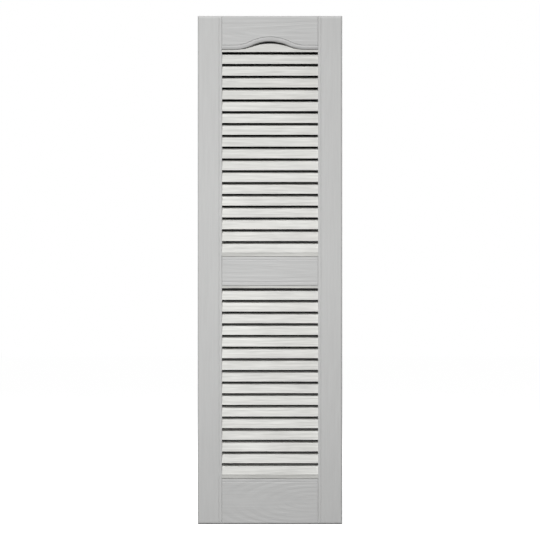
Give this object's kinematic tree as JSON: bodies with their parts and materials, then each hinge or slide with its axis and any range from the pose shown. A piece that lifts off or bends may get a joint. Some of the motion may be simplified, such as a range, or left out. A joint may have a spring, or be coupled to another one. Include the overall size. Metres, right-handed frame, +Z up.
{
  "type": "louvred shutter",
  "caption": "Tall moulded exterior window shutter: flat stiles and rails around banks of sloping louvres, the upper bank under a low arch, with an open ribbed back.",
  "frame": {"origin": "centre of the back plane, where the back rim lies against the wall", "axes": "+X across the panel, to the right as seen from the front; +Y towards the wall behind; +Z up"},
  "size_m": [0.3682, 0.0254, 1.2954],
  "materials": {
    "moulded_plastic": "matte, moulded with a fine wood grain on the front, plain behind"
  },
  "bodies": {
    "root": {"shutter_panel": "moulded_plastic"}
  },
  "joints": []
}
